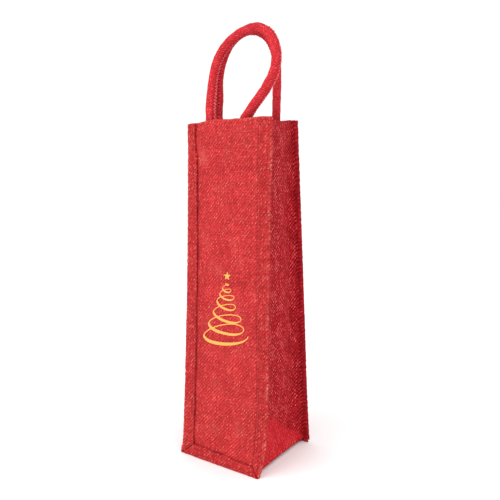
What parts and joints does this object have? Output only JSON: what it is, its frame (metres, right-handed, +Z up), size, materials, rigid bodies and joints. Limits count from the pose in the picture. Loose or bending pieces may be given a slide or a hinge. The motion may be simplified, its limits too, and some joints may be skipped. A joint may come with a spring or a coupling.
{
  "type": "wine gift bag",
  "caption": "Tall square-based jute bag for one bottle, with bound and topstitched edges, a turned mouth hem, two soft rope handles and a gold tree print.",
  "frame": {"origin": "middle of the square base, on the surface the bag stands on", "axes": "+Z up towards the mouth, -Y out of the printed front panel, +X towards the bag's right-hand side seen from the front"},
  "size_m": [0.112, 0.1001, 0.4463],
  "materials": {
    "panel_jute": "coarse twill jute with a slight sheen",
    "gusset_jute": "coarse twill jute with a slight sheen",
    "binding_jute": "coarse jute, folded and topstitched",
    "thread": "twisted sewing thread",
    "handle_cotton": "woven cotton cover, matt",
    "rope_core": "soft twisted cord",
    "gold_print": "printed gold ink with a soft gleam"
  },
  "bodies": {
    "bag": {"front_panel": "panel_jute", "back_panel": "panel_jute", "gusset": "gusset_jute", "front_panel_hem": "panel_jute", "back_panel_hem": "panel_jute", "gusset_hems": "gusset_jute", "front_binding_left": "binding_jute", "front_binding_base": "binding_jute", "front_binding_right": "binding_jute", "back_binding_left": "binding_jute", "back_binding_base": "binding_jute", "back_binding_right": "binding_jute", "front_binding_stitches": "thread", "back_binding_stitches": "thread", "hem_stitches": "thread", "front_handle_tabs": "handle_cotton", "back_handle_tabs": "handle_cotton", "front_handle_tacks": "thread", "back_handle_tacks": "thread", "print_ribbon": "gold_print", "print_star": "gold_print"},
    "front_handle": {"front_handle_cover": "handle_cotton", "front_handle_core": "rope_core", "front_handle_seam": "thread"},
    "back_handle": {"back_handle_cover": "handle_cotton", "back_handle_core": "rope_core", "back_handle_seam": "thread"}
  },
  "joints": [
    {"name": "front_handle_swing", "type": "hinge", "parent": "bag", "child": "front_handle", "pos_m": [0.0019, -0.0256, 0.3555], "axis": [0.9996, 0.0268, 0], "range_deg": [0, 105]},
    {"name": "back_handle_swing", "type": "hinge", "parent": "bag", "child": "back_handle", "pos_m": [-0.0105, 0.0247, 0.3555], "axis": [-0.987, -0.161, 0], "range_deg": [0, 105]}
  ]
}
